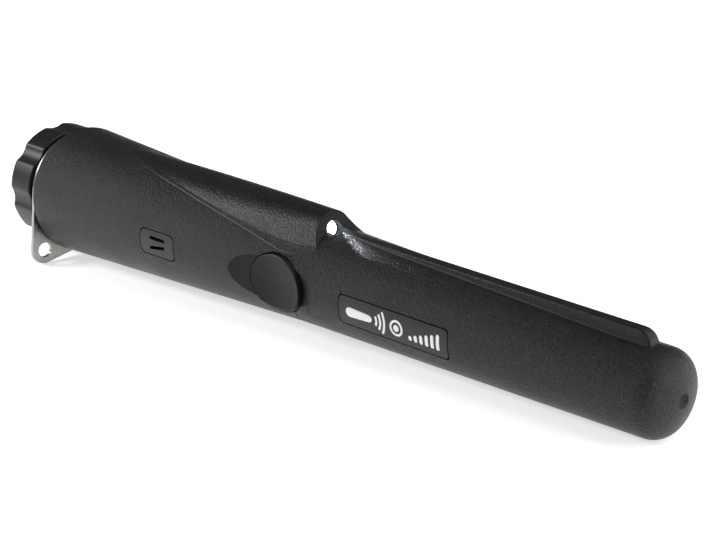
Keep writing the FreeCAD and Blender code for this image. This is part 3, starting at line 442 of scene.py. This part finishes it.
def blade_crease(x, side):
    """The point where the blade's flank runs into the body, metres."""
    radius = wand_radius(x * MM) / MM
    lean = (BLADE_ROOT_HALF - BLADE_TOP_HALF) / (BLADE_TOP - BLADE_ROOT)

    def half(height):
        return BLADE_ROOT_HALF - lean * (height - BLADE_ROOT)

    z = lowest_point(lambda h: radius - math.hypot(half(h), h), BLADE_ROOT, BLADE_TOP)
    return Vector((x, -side * half(z), z)) * MM


# painted highlight: the crease and flash beads are real thin ridges, but their plastic is painted far
# lighter than the housing to stand in for the bright line along the crease
crease_bead_painted_highlight = satin_plastic("crease_bead_painted_highlight", 0.05, 0.33, bevel=0.05, skin=0.01)
for side, tag in ((1, "near"), (-1, "far")):
    bead(f"hump_crease_{tag}", [hump_crease(x, side) for x in range(52, 128, 2)], 0.17 * MM,
         crease_bead_painted_highlight)
    bead(f"blade_flash_{tag}", [blade_crease(x, side) for x in range(134, 224, 2)], 0.15 * MM,
         crease_bead_painted_highlight)


# ---------------------------------------------------------------- generic pictogram on the plate
PLATE_MIDDLE = -0.7
PRINT_LIFT = 0.02
STRIP_ROWS = 5


def on_plate(x, z):
    """A point of the name plate's surface, from millimetres along the wand and above the axis."""
    radius = wand_radius(x * MM) / MM + PRINT_LIFT
    return Vector((x, -math.sqrt(radius ** 2 - z ** 2), z)) * MM


def strip(bm, left, right):
    """A band of faces between two rows of plate points, following the plate's curve."""
    rows = []
    for k in range(STRIP_ROWS + 1):
        share = k / STRIP_ROWS
        rows.append([bm.verts.new(on_plate(a[0] + share * (b[0] - a[0]), a[1] + share * (b[1] - a[1])))
                     for a, b in zip(left, right)])
    for near, far in zip(rows, rows[1:]):
        for i in range(len(near) - 1):
            bm.faces.new((near[i], far[i], far[i + 1], near[i + 1]))


def printed_bar(bm, x, low, high, half, steps=14):
    """An upright bar with round ends."""
    left, right = [], []
    for i in range(steps + 1):
        t = i / steps
        z = low + (high - low) * (0.5 - 0.5 * math.cos(math.pi * t))
        end = min(z - low, high - z)
        w = half if end >= half else math.sqrt(max(half ** 2 - (half - end) ** 2, 1e-4))
        left.append((x - w, z + PLATE_MIDDLE))
        right.append((x + w, z + PLATE_MIDDLE))
    strip(bm, left, right)


def printed_arc(bm, x, inner, outer, start, stop, steps=20):
    """Part of a ring round the point x on the plate's middle line, angles in degrees."""
    rows = ([], [])
    for i in range(steps + 1):
        angle = math.radians(start + (stop - start) * i / steps)
        for row, radius in zip(rows, (inner, outer)):
            row.append((x + radius * math.cos(angle), PLATE_MIDDLE + radius * math.sin(angle)))
    strip(bm, *rows)


def printed_wand(bm, start, stop, half):
    """A small wand: a tapered bar with a round end."""
    steps = 12
    upper, lower = [], []
    for i in range(steps + 1):
        x = start + (stop - start) * (0.5 - 0.5 * math.cos(math.pi * i / steps))
        taper = half * (1.0 - 0.35 * (x - start) / (stop - start))
        end = min(x - start, stop - x)
        w = taper if end >= taper else math.sqrt(max(taper ** 2 - (taper - end) ** 2, 1e-3))
        upper.append((x, PLATE_MIDDLE + w))
        lower.append((x, PLATE_MIDDLE - w))
    strip(bm, lower, upper)


def pictogram():
    """A wand, its sensing waves, a target disc and level bars: no lettering."""
    bm = bmesh.new()
    printed_wand(bm, 144.6, 153.4, 1.35)
    for inner in (1.6, 2.9, 4.2):
        printed_arc(bm, 153.0, inner, inner + 0.65, -38, 38)
    printed_arc(bm, 161.4, 0.02, 0.9, 0, 360)
    printed_arc(bm, 161.4, 1.5, 2.1, 0, 360, 36)
    for number in range(6):
        printed_bar(bm, 165.8 + 1.75 * number, -2.0, -0.7 + 0.55 * number, 0.5)
    bmesh.ops.remove_doubles(bm, verts=bm.verts, dist=1e-7)
    thing = new_piece("plate_pictogram", bm, white_print(), "wand")
    skin = thing.modifiers.new("ink", "SOLIDIFY")
    skin.thickness = 0.05 * MM
    skin.offset = 0.0
    return thing


pictogram()


# ---------------------------------------------------------------- floor, light and camera
CAMERA_ANGLES = (46.56, 20.93, 1.21)  # azimuth, elevation and roll, degrees
CAMERA_PLACE = (393.97, -246.22, 137.97)  # millimetres
SENSOR_WIDTH = 36.0
LENS = 76.379066  # millimetres, for that sensor
FLOOR_RADIUS = 3.5


def floor():
    """A wide pale floor under the wand, which lies on its ring, rim and tip."""
    rear, front = Vector((12.4, -20.75)), Vector((228.0, -10.5))
    slope = (front.y - rear.y) / (front.x - rear.x)
    bm = bmesh.new()
    rings, steps = 12, 72
    centre = Vector((0.12, 0.0))
    rows = []
    for i in range(rings + 1):
        radius = FLOOR_RADIUS * (i / rings) ** 2
        rows.append([])
        for k in range(steps):
            a = 2 * math.pi * k / steps
            x, y = centre.x + radius * math.cos(a), centre.y + radius * math.sin(a)
            z = (rear.y + slope * (x / MM - rear.x)) * MM
            if i or not k:
                rows[-1].append(bm.verts.new((x, y, z)))
    for k in range(steps):
        n = (k + 1) % steps
        bm.faces.new((rows[0][0], rows[1][k], rows[1][n]))
        for inner, outer in zip(rows[1:], rows[2:]):
            bm.faces.new((inner[k], outer[k], outer[n], inner[n]))
    mesh = bpy.data.meshes.new("studio_floor")
    bm.to_mesh(mesh)
    bm.free()
    thing = bpy.data.objects.new("studio_floor", mesh)
    bpy.context.scene.collection.objects.link(thing)
    g = Graph("studio_paper")
    fibre = g.noise(350, 5.0, 0.6)
    g.shade(Base_Color=g.mix(fibre, grey(0.90), grey(0.93)), Roughness=0.75,
            Emission_Color=grey(1.0), Emission_Strength=0.62, Normal=g.bump(fibre, 0.01 * MM))
    mesh.materials.append(g.material)


def softbox(name, place, target, width, height, power):
    light = bpy.data.lights.new(name, "AREA")
    light.shape = "RECTANGLE"
    light.size, light.size_y = width, height
    light.energy = power
    lamp = bpy.data.objects.new(name, light)
    lamp.location = place
    lamp.rotation_mode = "QUATERNION"
    lamp.rotation_quaternion = (Vector(target) - Vector(place)).to_track_quat("-Z", "Y")
    bpy.context.scene.collection.objects.link(lamp)


def studio():
    world = bpy.data.worlds.new("studio")
    world.use_nodes = True
    background = world.node_tree.nodes["Background"]
    background.inputs[0].default_value = (1.0, 1.0, 1.0, 1.0)
    background.inputs[1].default_value = 0.10
    scene = bpy.context.scene
    scene.world = world
    scene.view_settings.view_transform = "Standard"
    sun = bpy.data.lights.new("overhead_diffuser", "SUN")
    sun.energy = 2.0
    sun.angle = math.radians(70)
    lamp = bpy.data.objects.new("overhead_diffuser", sun)
    lamp.rotation_mode = "QUATERNION"
    lamp.rotation_quaternion = Vector((-0.45, -0.35, -0.8)).to_track_quat("-Z", "Y")
    scene.collection.objects.link(lamp)
    softbox("side_box", (-0.30, -0.30, 0.24), (0.06, 0.0, 0.0), 0.20, 0.09, 1.7)
    softbox("tip_box", (0.75, 0.30, 0.13), (0.23, 0.0, 0.0), 0.22, 0.16, 1.5)


def beam():
    """Light that the lit lamp throws along the blade."""
    low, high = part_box("led_lamp")
    light = bpy.data.lights.new("lamp_beam", "SPOT")
    light.energy = 0.012
    light.color = (0.93, 0.97, 1.0)
    light.spot_size = math.radians(50)
    light.spot_blend = 0.6
    light.shadow_soft_size = 0.4 * MM
    lamp = bpy.data.objects.new("lamp_beam", light)
    lamp.location = (high.x + 0.5 * MM, 0.0, high.z - 0.3 * MM)
    lamp.rotation_mode = "QUATERNION"
    lamp.rotation_quaternion = Vector((1.0, 0.0, -0.05)).to_track_quat("-Z", "Y")
    bpy.context.scene.collection.objects.link(lamp)


def camera():
    """The camera at the photographed angle."""
    azimuth, elevation, roll = (math.radians(a) for a in CAMERA_ANGLES)
    back = Vector((math.sin(azimuth) * math.cos(elevation),
                   -math.cos(azimuth) * math.cos(elevation), math.sin(elevation)))
    right = (-back).cross(Vector((0, 0, 1))).normalized()
    down = (-back).cross(right)
    turned_right = math.cos(roll) * right + math.sin(roll) * down
    turned_down = -math.sin(roll) * right + math.cos(roll) * down
    data = bpy.data.cameras.new("camera")
    data.sensor_width = SENSOR_WIDTH
    data.lens = LENS
    data.clip_start, data.clip_end = 0.01, 20.0
    thing = bpy.data.objects.new("camera", data)
    turn = Matrix((turned_right, -turned_down, back)).transposed().to_4x4()
    thing.matrix_world = Matrix.Translation(Vector(CAMERA_PLACE) * MM) @ turn
    bpy.context.scene.collection.objects.link(thing)
    bpy.context.scene.camera = thing


floor()
studio()
beam()
camera()
